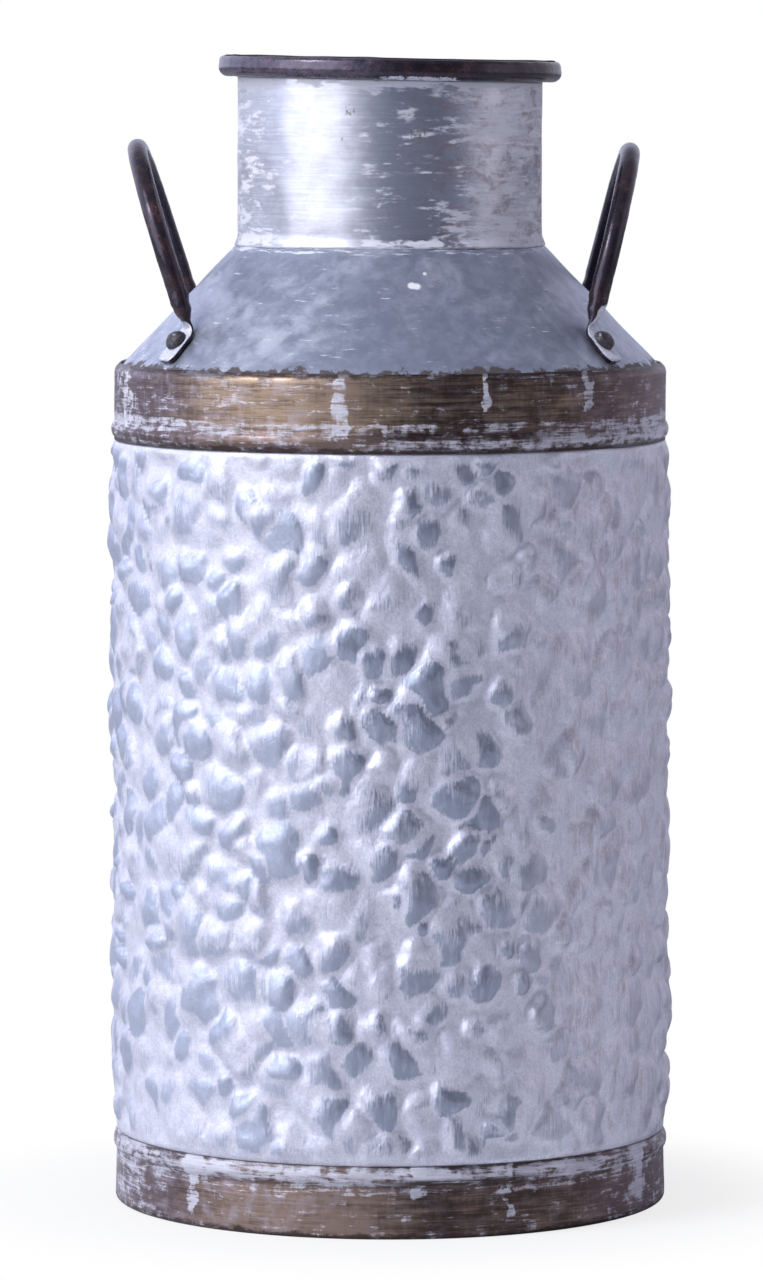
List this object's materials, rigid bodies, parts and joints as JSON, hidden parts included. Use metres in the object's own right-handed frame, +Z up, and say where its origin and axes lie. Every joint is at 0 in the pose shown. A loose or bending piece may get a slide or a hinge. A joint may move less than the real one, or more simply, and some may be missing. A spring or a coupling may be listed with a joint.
{
  "type": "milk can",
  "caption": "Tall open can of galvanised sheet steel with a hammered body, painted bands and rim, and a fixed handle on each side of the shoulder, for holding or carrying liquid or stems.",
  "frame": {"origin": "on the floor, at the centre of the can's round foot", "axes": "+Z up the can's axis; the handles stand at -X and +X; the sheets' seams are at the back, +Y"},
  "size_m": [0.2124, 0.2124, 0.4355],
  "materials": {
    "hammered_steel": "hammered galvanised steel under a rubbed lavender-white wash",
    "galvanised_steel": "dull blue-grey galvanised sheet with whitish streaks",
    "bronze_paint": "brushed brown and bronze paint, worn, with whitish scrapes",
    "black_paint": "near-black brown semi-gloss paint, worn at the edges",
    "rivet_steel": "dark steel with pale scuffs"
  },
  "bodies": {
    "root": {"base_band": "bronze_paint", "bottom_pan": "galvanised_steel", "body_shell": "hammered_steel", "shoulder_band": "bronze_paint", "shoulder_cone": "galvanised_steel", "neck_collar": "galvanised_steel", "rim_ring": "black_paint", "handle_left": "black_paint", "handle_right": "black_paint", "rivet_left_front": "rivet_steel", "rivet_left_rear": "rivet_steel", "rivet_right_front": "rivet_steel", "rivet_right_rear": "rivet_steel"}
  },
  "joints": []
}
